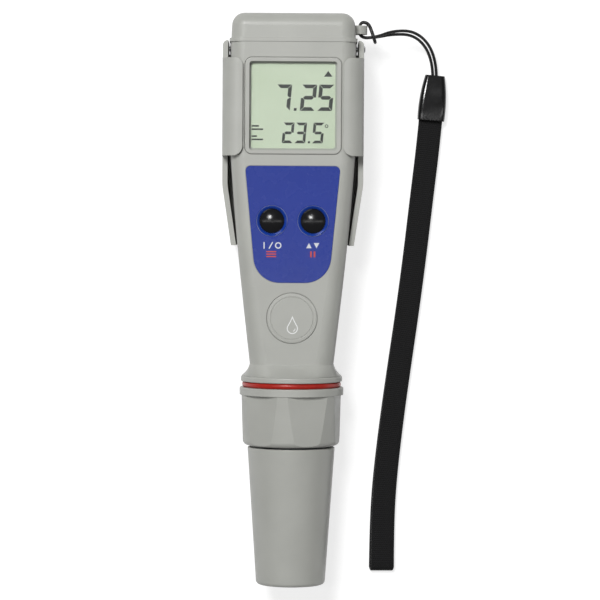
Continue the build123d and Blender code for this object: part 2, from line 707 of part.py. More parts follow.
def battery_cells():
    first = -(CELLS - 1) / 2 * CELL_THICK
    cells = []
    for i in range(CELLS):
        middle = first + i * CELL_THICK
        shell = lying(CELL_R, CELL_THICK - CELL_END_THICK, middle - CELL_END_THICK / 2, CARRIER_Y, CELL_Z)
        button_end = lying(CELL_R - CELL_END_LESS, CELL_END_THICK, middle + (CELL_THICK - CELL_END_THICK) / 2,
                           CARRIER_Y, CELL_Z)
        cells.append(shell + button_end)
    return Compound(children=cells)


def battery_carrier():
    """A trough for the cells, open towards the display."""
    top_z = CELL_Z + CARRIER_RISE
    block = upright(Pos(0, CARRIER_Y) * Rectangle(2 * CARRIER_HALF, CARRIER_LENGTH), INNER_BACK_Z, top_z)
    inner = CELLS * CELL_THICK + 2 * CONTACT_PLATE
    block -= lying(CELL_R + RUNNING_FIT, inner, 0, CARRIER_Y, CELL_Z)
    block -= upright(Pos(0, CARRIER_Y) * Rectangle(inner, 2 * (CELL_R + RUNNING_FIT)), CELL_Z, top_z + PAST)
    return block


def battery_contacts():
    """A metal plate at each end of the row of cells, with a tongue up to the board."""
    plates = []
    for side in (-1, 1):
        x = side * (CELLS * CELL_THICK / 2 + CONTACT_PLATE / 2)
        plate = lying(CELL_R - CONTACT_PLATE_LESS, CONTACT_PLATE, x, CARRIER_Y, CELL_Z)
        plate += upright(Pos(x, CARRIER_Y) * Rectangle(CONTACT_PLATE, CONTACT_TONGUE), CELL_Z, BOARD_Z)
        plates.append(plate)
    return Compound(children=plates)


# Battery cap

LUG_Y = TOP_Y - LUG_DROP


def battery_cap_form():
    """The cap's outside: a rounded block that narrows to its top, with a fine lip over the seam."""
    top = RectangleRounded(BODY_WIDTH - 2 * CAP_TOP_LESS, BODY_DEPTH, EDGE_ROUND)
    block = loft([across(TOP_Y) * top, across(SEAM_Y) * RectangleRounded(BODY_WIDTH, BODY_DEPTH, EDGE_ROUND)])
    block = fillet(block.edges().group_by(Axis.Y)[-1], CAP_TOP_ROUND)
    lip = along(RectangleRounded(BODY_WIDTH + 2 * CAP_LIP_PROUD, BODY_DEPTH + 2 * CAP_LIP_RISE, EDGE_ROUND),
                SEAM_Y + CAP_LIP_LENGTH, CAP_LIP_LENGTH)
    return block + lip


def lug():
    """A flat D-shaped eye on the cap's right side."""
    side = BODY_WIDTH / 2
    tip = side + LUG_REACH
    root = side - LUG_ROOT
    face = plan([(root, LUG_HEIGHT / 2), (tip, LUG_HEIGHT / 2), (tip, -LUG_HEIGHT / 2), (root, -LUG_HEIGHT / 2)],
                {1: LUG_ROUND, 2: LUG_ROUND})
    eye = Pos(tip - LUG_BAR - EYE_WIDTH / 2, 0) * RectangleRounded(EYE_WIDTH, EYE_HEIGHT, EYE_ROUND)
    return along(face - eye, LUG_Y + LUG_THICK / 2, LUG_THICK)


def battery_cap():
    inner_w = half_width(SEAM_Y) - WALL
    inner_d = BODY_DEPTH / 2 - WALL
    round_ = EDGE_ROUND - WALL
    cap = battery_cap_form()
    spigot = along(RectangleRounded(2 * (inner_w - FIT), 2 * (inner_d - FIT), round_ - FIT), SEAM_Y, SPIGOT_DEPTH)
    cap += spigot
    room_w = SCREW_SPACING / 2 - BOSS_HALF - CAP_ROOM_SIDE
    cap -= along(RectangleRounded(2 * room_w, 2 * (inner_d - CAP_ROOM_WALL), CAP_ROOM_ROUND), TOP_Y - WALL,
                 TOP_Y - WALL - SEAM_Y + SPIGOT_DEPTH + PAST)
    cap -= screw_holes(SCREW_R + FIT, TOP_Y + PAST, TOP_Y - SEAM_Y + SPIGOT_DEPTH + 2 * PAST)
    cap -= screw_holes(SCREW_HEAD_R + FIT, TOP_Y + PAST, SCREW_RECESS + PAST)
    return cap + lug()


def cap_gasket():
    """A flat rubber ring in a step of the housing's mouth, under the battery cap."""
    width = half_width(SEAM_Y) - WALL
    depth = BODY_DEPTH / 2 - WALL
    outer = RectangleRounded(2 * (width + GASKET_WIDTH), 2 * (depth + GASKET_WIDTH), EDGE_ROUND - WALL + GASKET_WIDTH)
    inner = RectangleRounded(2 * width, 2 * depth, EDGE_ROUND - WALL)
    return along(outer - inner, SEAM_Y, GASKET_THICK)


def cap_screws():
    """Two pan head screws that hold the battery cap on."""
    seat = TOP_Y - SCREW_RECESS
    screws = []
    for side in (-1, 1):
        x = side * SCREW_SPACING / 2
        head = along(Circle(SCREW_HEAD_R), seat + SCREW_HEAD_THICK, SCREW_HEAD_THICK, x=x)
        head = fillet(head.edges().group_by(Axis.Y)[-1], SCREW_HEAD_ROUND)
        bar = Rectangle(SCREW_CROSS_WIDTH, SCREW_CROSS)
        cross = along(bar + Rot(0, 0, 90) * bar, seat + SCREW_HEAD_THICK, SCREW_CROSS_DEPTH, x=x)
        shank = along(Circle(SCREW_R), seat, SCREW_LENGTH, x=x)
        screws.append(head - cross + shank)
    return Compound(children=screws)


# Neck seal, electrode and collar

def neck_oring():
    """A soft ring squeezed between the flange and the collar."""
    inner = SPIGOT_R + RUNNING_FIT
    outer = inner + NECK_RING_WIDTH
    corners = [(inner, FLANGE_Y), (outer, FLANGE_Y), (outer, COLLAR_TOP_Y), (inner, COLLAR_TOP_Y)]
    return turned(corners, {i: NECK_RING_ROUND for i in range(4)})


PLUG_R = NECK_BORE_R - FIT
FLANGE_TOP_Y = SPIGOT_END_Y
FLANGE_END_Y = FLANGE_TOP_Y - ELECTRODE_FLANGE_THICK
PLUG_TOP_Y = FLANGE_TOP_Y + PLUG_LENGTH
STUB_END_Y = FLANGE_END_Y - STUB_LENGTH
STEM_END_Y = STUB_END_Y - STEM_LENGTH
TIP_Y = STEM_END_Y - GUARD_LENGTH


def seal_groove(bore, y):
    """A ring shaped groove at y, for a seal that closes a bore."""
    floor = bore - RUNNING_FIT - 2 * SEAL_WIRE_R
    half = SEAL_WIRE_R + FIT
    return turned([(floor, y + half), (bore + PAST, y + half), (bore + PAST, y - half), (floor, y - half)])


def seal_ring(bore, y):
    """A seal of round wire in such a groove."""
    face = Plane((bore - RUNNING_FIT - SEAL_WIRE_R, y, AXIS_Z)) * Circle(SEAL_WIRE_R)
    return revolve(face, LONG_AXIS)


def electrode_body():
    body = turned([(0, PLUG_TOP_Y), (PLUG_R, PLUG_TOP_Y), (PLUG_R, FLANGE_TOP_Y), (ELECTRODE_FLANGE_R, FLANGE_TOP_Y),
                   (ELECTRODE_FLANGE_R, FLANGE_END_Y), (STUB_R, FLANGE_END_Y), (STUB_R, STUB_END_Y),
                   (STEM_R, STUB_END_Y), (GUARD_R, STEM_END_Y), (0, STEM_END_Y)], {1: PLUG_ROUND})
    body -= seal_groove(NECK_BORE_R, FLANGE_TOP_Y + PLUG_SEAL_DROP)
    body -= seal_groove(CAP_BORE_R, FLANGE_END_Y - CAP_SEAL_DROP)
    inner = GUARD_R - GUARD_WALL
    guard = turned([(inner, STEM_END_Y), (GUARD_R, STEM_END_Y), (GUARD_R, TIP_Y), (inner, TIP_Y)],
                   {2: GUARD_TIP_ROUND})
    for i in range(GUARD_PRONGS // 2):
        slot = along(Rectangle(2 * GUARD_R + PAST, GUARD_GAP), STEM_END_Y, GUARD_LENGTH + PAST)
        guard -= slot.rotate(LONG_AXIS, i * 360 / GUARD_PRONGS)
    body += guard
    for x, z in sensor_places().values():
        body -= along(Circle(SENSOR_RADII[(x, z)] + FIT), STEM_END_Y + SENSOR_SEAT, SENSOR_SEAT, x=x, z=AXIS_Z + z)
    return body


def sensor_places():
    """Where the sensors come out of the stem's lower face, as (x, height over the axis)."""
    return {"glass": (0.0, 2.4), "probe": (-4.0, -2.6), "orp": (4.2, -1.4), "junction": (0.4, -4.4)}


SENSOR_RADII = {sensor_places()["glass"]: GLASS_BULB_R - BULB_NECK, sensor_places()["probe"]: PROBE_R,
                sensor_places()["orp"]: ORP_PIN_R, sensor_places()["junction"]: JUNCTION_R}


def sensor_pin(name, reach, round_):
    """A round sensor that stands in its hole and reaches out below the stem."""
    x, z = sensor_places()[name]
    radius = SENSOR_RADII[(x, z)]
    top = STEM_END_Y + SENSOR_SEAT
    end = STEM_END_Y - reach
    return turned([(0, top), (radius, top), (radius, end), (0, end)], {2: round_}, axis_x=x, axis_z=AXIS_Z + z)


def glass_bulb():
    """The measuring bulb: a thin tube with a round end of wider glass."""
    x, z = sensor_places()["glass"]
    tube = sensor_pin("glass", BULB_REACH - GLASS_BULB_R / 2, BULB_NECK)
    return tube + Pos(x, STEM_END_Y - BULB_REACH, AXIS_Z + z) * Sphere(GLASS_BULB_R)


def contact_pins():
    """Pins in the plug's top face that enter the socket."""
    pins = [along(Circle(CONTACT_R), PLUG_TOP_Y + CONTACT_LENGTH, CONTACT_LENGTH, x=x, z=AXIS_Z + z)
            for x, z in contact_places()]
    return Compound(children=pins)


def collar():
    """A ring nut with a rim on top, six flats to grip and a lip that holds the electrode's flange."""
    rim_end = COLLAR_TOP_Y - COLLAR_RIM_LENGTH
    bore = SPIGOT_R + FIT
    shoulder = COLLAR_END_Y + COLLAR_LIP_LENGTH
    ring = turned([(bore, COLLAR_TOP_Y), (COLLAR_RIM_R, COLLAR_TOP_Y), (COLLAR_RIM_R, rim_end),
                   (COLLAR_TOP_R, rim_end), (COLLAR_END_R, COLLAR_END_Y), (COLLAR_LIP_R, COLLAR_END_Y),
                   (COLLAR_LIP_R, shoulder), (bore, shoulder)],
                  {1: COLLAR_RIM_ROUND, 2: (COLLAR_RIM_R - COLLAR_TOP_R) / 2, 4: COLLAR_END_ROUND})
    depth = COLLAR_RIM_R - FLAT_DISTANCE
    flat = along(Pos(0, FLAT_DISTANCE + depth / 2) * Rectangle(2 * COLLAR_RIM_R, depth), rim_end, COLLAR_LENGTH)
    for i in range(COLLAR_FLATS):
        ring -= flat.rotate(LONG_AXIS, FLAT_TURN + i * 360 / COLLAR_FLATS)
    return ring


# Protective cap

def protective_cap():
    """A tapered cup with a step inside that stops on the electrode's stub."""
    step = STUB_END_Y
    floor = CAP_END_Y + CAP_WALL
    end_bore = CAP_END_R - CAP_WALL
    return turned([(CAP_BORE_R, CAP_MOUTH_Y), (CAP_MOUTH_R, CAP_MOUTH_Y), (CAP_END_R, CAP_END_Y),
                   (0, CAP_END_Y), (0, floor), (end_bore, floor), (CAP_STEP_R, step), (CAP_BORE_R, step)],
                  {1: CAP_MOUTH_ROUND, 2: CAP_END_ROUND, 5: CAP_FLOOR_ROUND})


# Clip frame

def frame_outline(inset=0.0, past=0.0):
    """The frame in plan: straight sides that lean in at the lower end."""
    wide = FRAME_WIDTH / 2 - inset
    end = half_width(FRAME_END_Y) + FRAME_END_GAP + FRAME_WALL
    lean = (FRAME_WIDTH / 2 - end) / FRAME_BEND
    slim = end - inset - lean * past
    return plan(mirrored([(wide, FRAME_TOP_Y + past), (wide, FRAME_BEND_Y), (slim, FRAME_END_Y - past)]),
                {1: FRAME_BEND_ROUND, 4: FRAME_BEND_ROUND})


def arm_section():
    """The frame's section beside the display: a C that wraps round to the front."""
    top = FRONT_Z + ARM_PROUD
    wide = FRAME_WIDTH / 2
    inner = wide - FRAME_WALL
    outer_face = plan([(wide, FRAME_BACK_Z), (wide, top), (-wide, top), (-wide, FRAME_BACK_Z)],
                      {1: ARM_CORNER_ROUND, 2: ARM_CORNER_ROUND})
    inner_face = plan([(inner, FRAME_BACK_Z), (inner, top - ARM_THICK), (-inner, top - ARM_THICK),
                       (-inner, FRAME_BACK_Z)],
                      {1: ARM_CORNER_ROUND - ARM_INNER_LESS, 2: ARM_CORNER_ROUND - ARM_INNER_LESS})
    return Pos(0, -AXIS_Z) * (outer_face - inner_face)


def frame_arms():
    mid = WINDOW_Y - ARM_DROP
    half = ARM_LENGTH / 2
    tip = BEZEL_SIZE / 2 + ARM_TIP_GAP
    far = FRAME_WIDTH
    wrap = along(arm_section(), mid + half, ARM_LENGTH)
    right = plan([(tip, mid + half), (far, mid + half), (far, mid - half), (tip, mid - half)],
                 {0: ARM_TOP_ROUND, 3: ARM_END_ROUND})
    keep = right + mirror(right, Plane.YZ)
    return wrap & upright(keep, FRAME_BACK_Z, FRONT_Z + ARM_PROUD + PAST)


def clip_frame():
    sides = upright(frame_outline(), FRAME_BACK_Z, FRAME_WALL_TOP_Z)
    back_edges = sides.edges().group_by(Axis.Z)[0]
    sides = fillet(back_edges.filter_by(lambda e: abs(e.center().X) > FRAME_WIDTH / 4), FRAME_BACK_ROUND)
    frame = sides - upright(frame_outline(FRAME_WALL, PAST), FRAME_BACK_Z + FRAME_WALL, FRAME_WALL_TOP_Z + PAST)
    frame += frame_arms()
    inner = FRAME_WIDTH / 2 - FRAME_WALL
    notch_y = HINGE_Y - KNUCKLE_R - SLIP
    notch = FRAME_TOP_Y + PAST - notch_y
    frame -= upright(Pos(0, notch_y + notch / 2) * Rectangle(2 * inner, notch), 0, BACK_Z)
    for side in (-1, 1):
        low = FRAME_BACK_Z - EAR_DROP
        ear = plan([(notch_y, low), (FRAME_TOP_Y, low), (FRAME_TOP_Y, AXIS_Z), (notch_y, AXIS_Z)],
                   {0: EAR_LOW_ROUND, 1: EAR_TOP_ROUND})
        plane = Plane(origin=(side * (FRAME_WIDTH - FRAME_WALL) / 2 - FRAME_WALL / 2, 0, 0),
                      x_dir=(0, 1, 0), z_dir=(1, 0, 0))
        frame += extrude(plane * ear, FRAME_WALL)
    for y in (FRAME_BEND_Y, WINDOW_Y):
        frame += upright(Pos(0, y) * Rectangle(PAD_WIDTH, PAD_LENGTH), FRAME_BACK_Z + FRAME_WALL, BACK_Z)
    frame -= lying(PIN_R, FRAME_WIDTH - PIN_BLIND, PIN_BLIND / 2, HINGE_Y, HINGE_Z)
    reach = FRAME_WIDTH / 2
    keep = plan([(reach, FRAME_TOP_Y), (reach, FRAME_END_Y - PAST), (-reach, FRAME_END_Y - PAST),
                 (-reach, FRAME_TOP_Y)], {0: EAR_SIDE_ROUND, 3: EAR_SIDE_ROUND})
    return frame & upright(keep, FRAME_BACK_Z - EAR_DROP - PAST, FRONT_Z + ARM_PROUD + PAST)


def clip_pin():
    """The hinge pin, with a low domed head on the right."""
    left = -FRAME_WIDTH / 2 + PIN_BLIND
    right = FRAME_WIDTH / 2
    pin = lying(PIN_R, right - left, (left + right) / 2, HINGE_Y, HINGE_Z)
    head = Pos(right + PIN_HEAD_PROUD / 2, HINGE_Y, HINGE_Z) * Rot(0, 90, 0) * Cylinder(PIN_HEAD_R, PIN_HEAD_PROUD)
    head = fillet(head.edges().group_by(Axis.X)[-1], PIN_HEAD_PROUD * 0.8)
    return pin + head


# Pocket clip

def clip_lever():
    """The sprung tongue: a knuckle across the frame and a tapered blade under the back plate."""
    wide = FRAME_WIDTH / 2 - FRAME_WALL - SLIP
    top = LEVER_WIDTH / 2
    end = LEVER_END_WIDTH / 2
    end_y = HINGE_Y - LEVER_LENGTH
    blade = plan(mirrored([(wide, HINGE_Y), (wide, HINGE_Y - LEVER_SHOULDER), (top, HINGE_Y - LEVER_WAIST),
                           (end, end_y)]),
                 {1: LEVER_SHOULDER_ROUND, 2: LEVER_WAIST_ROUND, 3: LEVER_END_ROUND, 4: LEVER_END_ROUND,
                  5: LEVER_WAIST_ROUND, 6: LEVER_SHOULDER_ROUND})
    lever = upright(blade, LEVER_TOP_Z - LEVER_THICK, LEVER_TOP_Z)
    lever += lying(KNUCKLE_R, 2 * wide, 0, HINGE_Y, HINGE_Z)
    lever += lying(LEVER_NIB, LEVER_END_WIDTH - LEVER_NIB_LESS, 0, end_y + LEVER_NIB_RISE, LEVER_TOP_Z)
    lever -= upright(Pos(0, HINGE_Y) * Rectangle(KNUCKLE_GAP, 2 * (KNUCKLE_R + SLIP)), -PAST, AXIS_Z)
    lever -= lying(PIN_R + RUNNING_FIT, 2 * wide + PAST, 0, HINGE_Y, HINGE_Z)
    groove = 2 * (SPRING_WIRE_R + RUNNING_FIT)
    reach = SPRING_LEVER_LEG + SLIP
    lever -= upright(Pos(-spring_half(), HINGE_Y - reach / 2) * Rectangle(groove, reach), -PAST,
                     HINGE_Z - SPRING_COIL_R + groove / 2)
    return lever


def spring_half():
    """Half the coil's length along the pin."""
    return SPRING_TURNS * SPRING_PITCH / 2


def spring_route():
    """A leg in the lever's groove, the coil round the pin, and a leg over the edge of the frame's back."""
    steps = round(SPRING_TURNS * SPRING_CORNERS)
    half = spring_half()
    reach = SPRING_COIL_R / cos(pi / SPRING_CORNERS)
    coil = []
    for i in range(steps):
        turn = 2 * pi * (i + 0.5) / SPRING_CORNERS
        x = -half + SPRING_PITCH * (i + 0.5) / SPRING_CORNERS
        coil.append((x, HINGE_Y + reach * sin(turn), HINGE_Z - reach * cos(turn)))
    low = HINGE_Z - SPRING_COIL_R
    high = (FRAME_BACK_Z + FRAME_WALL + BACK_Z) / 2
    bend_y = HINGE_Y - KNUCKLE_R + SLIP
    return ([(-half, HINGE_Y - SPRING_LEVER_LEG, low)] + coil
            + [(half, bend_y, high), (half, HINGE_Y - SPRING_FRAME_LEG, high)])


def clip_spring():
    route = spring_route()
    path = FilletPolyline(*route, radius=arc_radii(route))
    return sweep(Plane(origin=path @ 0, z_dir=path % 0) * Circle(SPRING_WIRE_R), path)


# Lanyard

STRAP_ROUTE = [(43.2, 58.9), (42.25, 48.2), (40.3, 31.5), (38.3, 13.4), (36.1, -4.1), (33.6, -22.0), (31.3, -39.6),
               (29.4, -57.8), (28.8, -72.0), (28.85, -84.8)]


def strap_path():
    """The strap's line on the table, from inside the ferrule to its folded end."""
    radii = arc_radii([(x, y, 0) for x, y in STRAP_ROUTE])
    return FilletPolyline(*STRAP_ROUTE, radius=radii)


def arc_radii(points):
    """For each corner of a route, the largest arc that its two runs have room for."""
    radii = []
    for before, at, after in zip(points, points[1:], points[2:]):
        into = Vector(*at) - Vector(*before)
        out = Vector(*after) - Vector(*at)
        half_turn = into.get_angle(out) / 2 * pi / 180
        radii.append(ARC_SHARE * min(into.length, out.length) / tan(half_turn))
    return radii


def wrist_strap():
    """Doubled webbing that lies flat on the table."""
    path = Pos(0, 0, STRAP_THICK / 2) * strap_path()
    section = Plane(origin=path @ 0, z_dir=path % 0, x_dir=(0, 0, 1)) * Rectangle(STRAP_THICK, STRAP_WIDTH)
    return sweep(section, path)


# The cord leaves the ferrule, goes to the lug and up through its eye, comes back over the bar and round
# both strands in a hitch, and returns the same way. Each strand lies beside the other.
LANYARD_ROUTE = [(44.6, 67.4, 1.8), (44.8, 72.4, 2.2), (42.3, 79.4, 6.4), (37.2, 83.2, 11.2), (30.6, 83.0, 15.0),
                 (25.4, 80.9, 16.5), (20.2, 80.6, 16.5), (20.2, 85.5, 16.6), (22.9, 85.4, 17.0),
                 (24.2, 82.2, 17.55), (25.1, 79.3, 17.5), (25.1, 79.3, 14.5), (24.2, 82.2, 14.45),
                 (22.9, 85.4, 15.0), (20.2, 85.5, 15.4), (20.2, 80.6, 15.5), (25.4, 80.9, 15.5), (30.4, 82.0, 14.1),
                 (36.7, 82.1, 10.7), (41.3, 78.6, 6.0), (43.6, 72.3, 2.2), (43.5, 67.4, 1.8)]


def lanyard_cord():
    path = FilletPolyline(*LANYARD_ROUTE, radius=arc_radii(LANYARD_ROUTE))
    return sweep(Plane(origin=path @ 0, z_dir=path % 0) * Circle(CORD_D / 2), path)


FERRULE_TOP = (44.2, 69.85)
FERRULE_END = (42.95, 55.8)


def strap_ferrule():
    """A flattened, tapered ferrule that grips the cord's ends and the strap."""
    direction = Vector(FERRULE_END[0] - FERRULE_TOP[0], FERRULE_END[1] - FERRULE_TOP[1], 0).normalized()
    side = Vector(0, 0, 1).cross(direction)

    def at(share, width, thick):
        spot = Vector(*FERRULE_TOP, thick / 2) + direction * (share * FERRULE_LENGTH)
        return Plane(origin=spot, x_dir=side, z_dir=direction) * RectangleRounded(width, thick, thick * FERRULE_ROUND)

    body = loft([at(0, FERRULE_TOP_WIDTH, FERRULE_TOP_THICK),
                 at(FERRULE_WAIST, FERRULE_WAIST_WIDTH, FERRULE_THICK), at(1, FERRULE_WIDTH, FERRULE_THICK)])
    mouth = Plane(origin=Vector(*FERRULE_TOP, STRAP_THICK / 2) + direction * (FERRULE_LENGTH - FERRULE_BORE_DEPTH),
                  x_dir=side, z_dir=direction)
    body -= extrude(mouth * Rectangle(STRAP_WIDTH + 2 * FIT, STRAP_THICK + 2 * FIT), FERRULE_BORE_DEPTH + PAST)
    entry = Plane(origin=Vector(*FERRULE_TOP, FERRULE_TOP_THICK / 2), x_dir=side, z_dir=direction)
    cord_bore = RectangleRounded(CORD_BORE_WIDTH, CORD_BORE_THICK, CORD_BORE_ROUND)
    return body - extrude(entry * cord_bore, CORD_BORE_DEPTH)


NODES = {
    "main_housing": main_housing,
    "window_bezel": window_bezel,
    "display_window": display_window,
    "front_label": front_label,
    "button_rings": button_rings,
    "power_button": lambda: button(-BUTTON_SPACING / 2),
    "set_button": lambda: button(BUTTON_SPACING / 2),
    "seal_badge": seal_badge,
    "lcd_panel": lcd_panel,
    "zebra_strips": zebra_strips,
    "lcd_holder": lcd_holder,
    "circuit_board": circuit_board,
    "board_chips": board_chips,
    "tact_switches": tact_switches,
    "electrode_socket": electrode_socket,
    "socket_tails": socket_tails,
    "sensor_lead": sensor_lead,
    "battery_cells": battery_cells,
    "battery_carrier": battery_carrier,
    "battery_contacts": battery_contacts,
    "battery_cap": battery_cap,
    "cap_gasket": cap_gasket,
    "cap_screws": cap_screws,
    "neck_oring": neck_oring,
    "electrode_body": electrode_body,
    "plug_seal": lambda: seal_ring(NECK_BORE_R, FLANGE_TOP_Y + PLUG_SEAL_DROP),
    "cap_seal": lambda: seal_ring(CAP_BORE_R, FLANGE_END_Y - CAP_SEAL_DROP),
    "glass_bulb": glass_bulb,
    "temperature_probe": lambda: sensor_pin("probe", PROBE_REACH, PROBE_ROUND),
    "orp_pin": lambda: sensor_pin("orp", ORP_PIN_REACH, ORP_PIN_ROUND),
    "reference_junction": lambda: sensor_pin("junction", JUNCTION_REACH, JUNCTION_ROUND),
    "contact_pins": contact_pins,
    "collar": collar,
    "protective_cap": protective_cap,
    "clip_frame": clip_frame,
    "clip_pin": clip_pin,
    "clip_lever": clip_lever,
    "clip_spring": clip_spring,
    "lanyard_cord": lanyard_cord,
    "wrist_strap": wrist_strap,
    "strap_ferrule": strap_ferrule,
}


def main():
    os.makedirs("parts", exist_ok=True)
    for name, route in (("lanyard_cord", LANYARD_ROUTE), ("clip_spring", spring_route())):
        print(name, "arc radii", [round(radius, 1) for radius in arc_radii(route)])
    for name, make in NODES.items():
        export_step(make(), os.path.join("parts", name + ".step"))


main()
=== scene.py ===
from math import cos, pi, radians, sin

import bmesh
import bpy
from mathutils import Matrix, Vector


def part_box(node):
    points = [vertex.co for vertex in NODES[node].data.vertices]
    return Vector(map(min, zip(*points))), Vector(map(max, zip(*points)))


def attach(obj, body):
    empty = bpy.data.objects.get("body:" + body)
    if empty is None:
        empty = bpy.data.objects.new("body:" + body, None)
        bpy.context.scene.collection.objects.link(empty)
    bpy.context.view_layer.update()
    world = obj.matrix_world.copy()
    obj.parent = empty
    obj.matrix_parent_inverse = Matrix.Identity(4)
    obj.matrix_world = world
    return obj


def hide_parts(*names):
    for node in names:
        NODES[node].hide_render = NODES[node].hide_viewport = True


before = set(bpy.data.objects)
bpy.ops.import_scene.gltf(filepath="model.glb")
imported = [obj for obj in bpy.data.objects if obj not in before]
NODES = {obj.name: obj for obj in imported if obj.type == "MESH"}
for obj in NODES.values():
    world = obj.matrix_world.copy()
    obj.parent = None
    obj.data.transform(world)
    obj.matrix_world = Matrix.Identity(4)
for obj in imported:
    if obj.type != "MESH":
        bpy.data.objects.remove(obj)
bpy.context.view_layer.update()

# Lengths below are in millimetres, and points and sizes are turned to metres where they are used
MM = 0.001


def mm(*numbers):
    """A point given in millimetres, in metres."""
    return Vector(numbers) * MM


# Places worked out from the frame
LCD_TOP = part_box("lcd_panel")[1].z
LABEL_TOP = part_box("front_label")[1].z
BADGE_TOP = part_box("seal_badge")[1].z
BADGE_MIDDLE = (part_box("seal_badge")[0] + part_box("seal_badge")[1]) / 2


# Camera: nearly straight over the tester, a little nearer to its top end, and turned by a third of a degree
CAMERA_AT = mm(0, 30.8, 940)
CAMERA_AIM = mm(2.46, 0, 16)
CAMERA_ROLL = radians(0.35)
CAMERA_LENS = 180.0
CAMERA_SENSOR = 36.0
CAMERA_SEES = (0.01, 20.0)      # nearest and farthest, in metres


def add_camera():
    data = bpy.data.cameras.new("camera")
    data.lens = CAMERA_LENS
    data.sensor_width = CAMERA_SENSOR
    data.clip_start, data.clip_end = CAMERA_SEES
    camera = bpy.data.objects.new("camera", data)
    bpy.context.scene.collection.objects.link(camera)
    back = (CAMERA_AT - CAMERA_AIM).normalized()
    up = Vector((-sin(CAMERA_ROLL), cos(CAMERA_ROLL), 0))
    right = up.cross(back).normalized()
    up = back.cross(right)
    turn = Matrix((right, up, back)).transposed()
    camera.matrix_world = Matrix.Translation(CAMERA_AT) @ turn.to_4x4()
    bpy.context.scene.camera = camera


add_camera()


# Materials

def linear(red, green, blue):
    """A screen colour, 0 to 255, as the linear values that shaders take."""
    shares = [value / 255 for value in (red, green, blue)]
    return tuple(s / 12.92 if s <= 0.04045 else ((s + 0.055) / 1.055) ** 2.4 for s in shares) + (1.0,)


def rays_of(tree, *kinds):
    """A value that is 1 for rays of these kinds and 0 for others."""
    path = tree.nodes.new("ShaderNodeLightPath")
    seen = path.outputs[kinds[0]]
    for kind in kinds[1:]:
        either = tree.nodes.new("ShaderNodeMath")
        either.operation = "MAXIMUM"
        tree.links.new(seen, either.inputs[0])
        tree.links.new(path.outputs[kind], either.inputs[1])
        seen = either.outputs[0]
    return seen


class Look:
    """A material with one Principled shader, and short ways to add textures to it."""

    def __init__(self, name, **sockets):
        self.material = bpy.data.materials.new(name)
        self.material.use_nodes = True
        self.tree = self.material.node_tree
        self.shader = self.tree.nodes["Principled BSDF"]
        self.normal = None
        for socket, value in sockets.items():
            self.shader.inputs[socket.replace("_", " ")].default_value = value
        self.place = self.node("ShaderNodeTexCoord").outputs["Object"]

    def node(self, kind, **settings):
        """A new node. Settings that name an input are its value or the socket that feeds it."""
        made = self.tree.nodes.new(kind)
        for key, value in settings.items():
            label = key.replace("_", " ")
            if hasattr(made, key):
                setattr(made, key, value)
            elif isinstance(value, bpy.types.NodeSocket):
                self.tree.links.new(value, made.inputs[label])
            else:
                made.inputs[label].default_value = value
        return made

    def feed(self, socket, source):
        self.tree.links.new(source, self.shader.inputs[socket])

    def noise(self, size, detail=3.0, stretch=(1, 1, 1), roughness=0.5):
        """Noise whose spots are about size millimetres across."""
        scaled = self.node("ShaderNodeMapping", Vector=self.place, Scale=stretch)
        return self.node("ShaderNodeTexNoise", Vector=scaled.outputs[0], Scale=1 / (size * MM), Detail=detail,
                         Roughness=roughness).outputs["Fac"]

    def spread(self, source, low, high, start=0.3, end=0.7):
        """The source's values from start to end, spread over low to high."""
        return self.node("ShaderNodeMapRange", Value=source, From_Min=start, From_Max=end, To_Min=low,
                         To_Max=high).outputs[0]

    def blend(self, share, first, second):
        """A colour between first and second."""
        mix = self.tree.nodes.new("ShaderNodeMix")
        mix.data_type = "RGBA"
        self.tree.links.new(share, mix.inputs[0])
        for socket, value in ((mix.inputs[6], first), (mix.inputs[7], second)):
            if isinstance(value, bpy.types.NodeSocket):
                self.tree.links.new(value, socket)
            else:
                socket.default_value = value
        return mix.outputs[2]

    def mottle(self, colour, size=9.0, amount=0.06):
        """Base colour that drifts a little darker and lighter over the surface."""
        dark = tuple(c * (1 - amount) for c in colour[:3]) + (1,)
        light = tuple(min(1, c * (1 + amount)) for c in colour[:3]) + (1,)
        self.feed("Base Color", self.blend(self.spread(self.noise(size), 0, 1), dark, light))
        return self

    def wear(self, low, high, size=2.5):
        """Roughness that varies between low and high."""
        self.feed("Roughness", self.spread(self.noise(size, detail=5), low, high))
        return self

    def relief(self, source, depth):
        """Bump of that depth in millimetres, over the bumps added before it."""
        bump = self.node("ShaderNodeBump", Height=source, Strength=1.0, Distance=depth * MM)
        if self.normal is not None:
            self.tree.links.new(self.normal, bump.inputs["Normal"])
        self.normal = bump.outputs[0]
        self.feed("Normal", self.normal)
        return self

    def soften(self, radius):
        """Edges that shade as if they were rounded by radius millimetres."""
        self.normal = self.node("ShaderNodeBevel", samples=6, Radius=radius * MM).outputs[0]
        self.feed("Normal", self.normal)
        return self


def moulded(name, colour, rough=(0.34, 0.44), grain=0.004, round_=0.18):
    """Matt moulded plastic: a fine spark-eroded grain, faint flow marks and slightly polished rubs."""
    look = Look(name, Specular_IOR_Level=0.5, IOR=1.5).soften(round_)
    look.mottle(linear(*colour), 11.0, 0.035).wear(*rough)
    return look.relief(look.noise(0.22, detail=2), grain)


def rubber(name, colour, rough=(0.3, 0.42), round_=0.1):
    look = Look(name, Specular_IOR_Level=0.45).soften(round_)
    look.mottle(linear(*colour), 4.0, 0.1).wear(*rough, size=1.2)
    return look.relief(look.noise(0.4, detail=3), 0.004)


def gloss(name, colour, rough=(0.08, 0.16), round_=0.12):
    look = Look(name, Specular_IOR_Level=0.5, Coat_Weight=0.35, Coat_Roughness=0.06).soften(round_)
    look.mottle(linear(*colour), 6.0, 0.05).wear(*rough, size=5.0)
    return look.relief(look.noise(1.6, detail=2), 0.002)


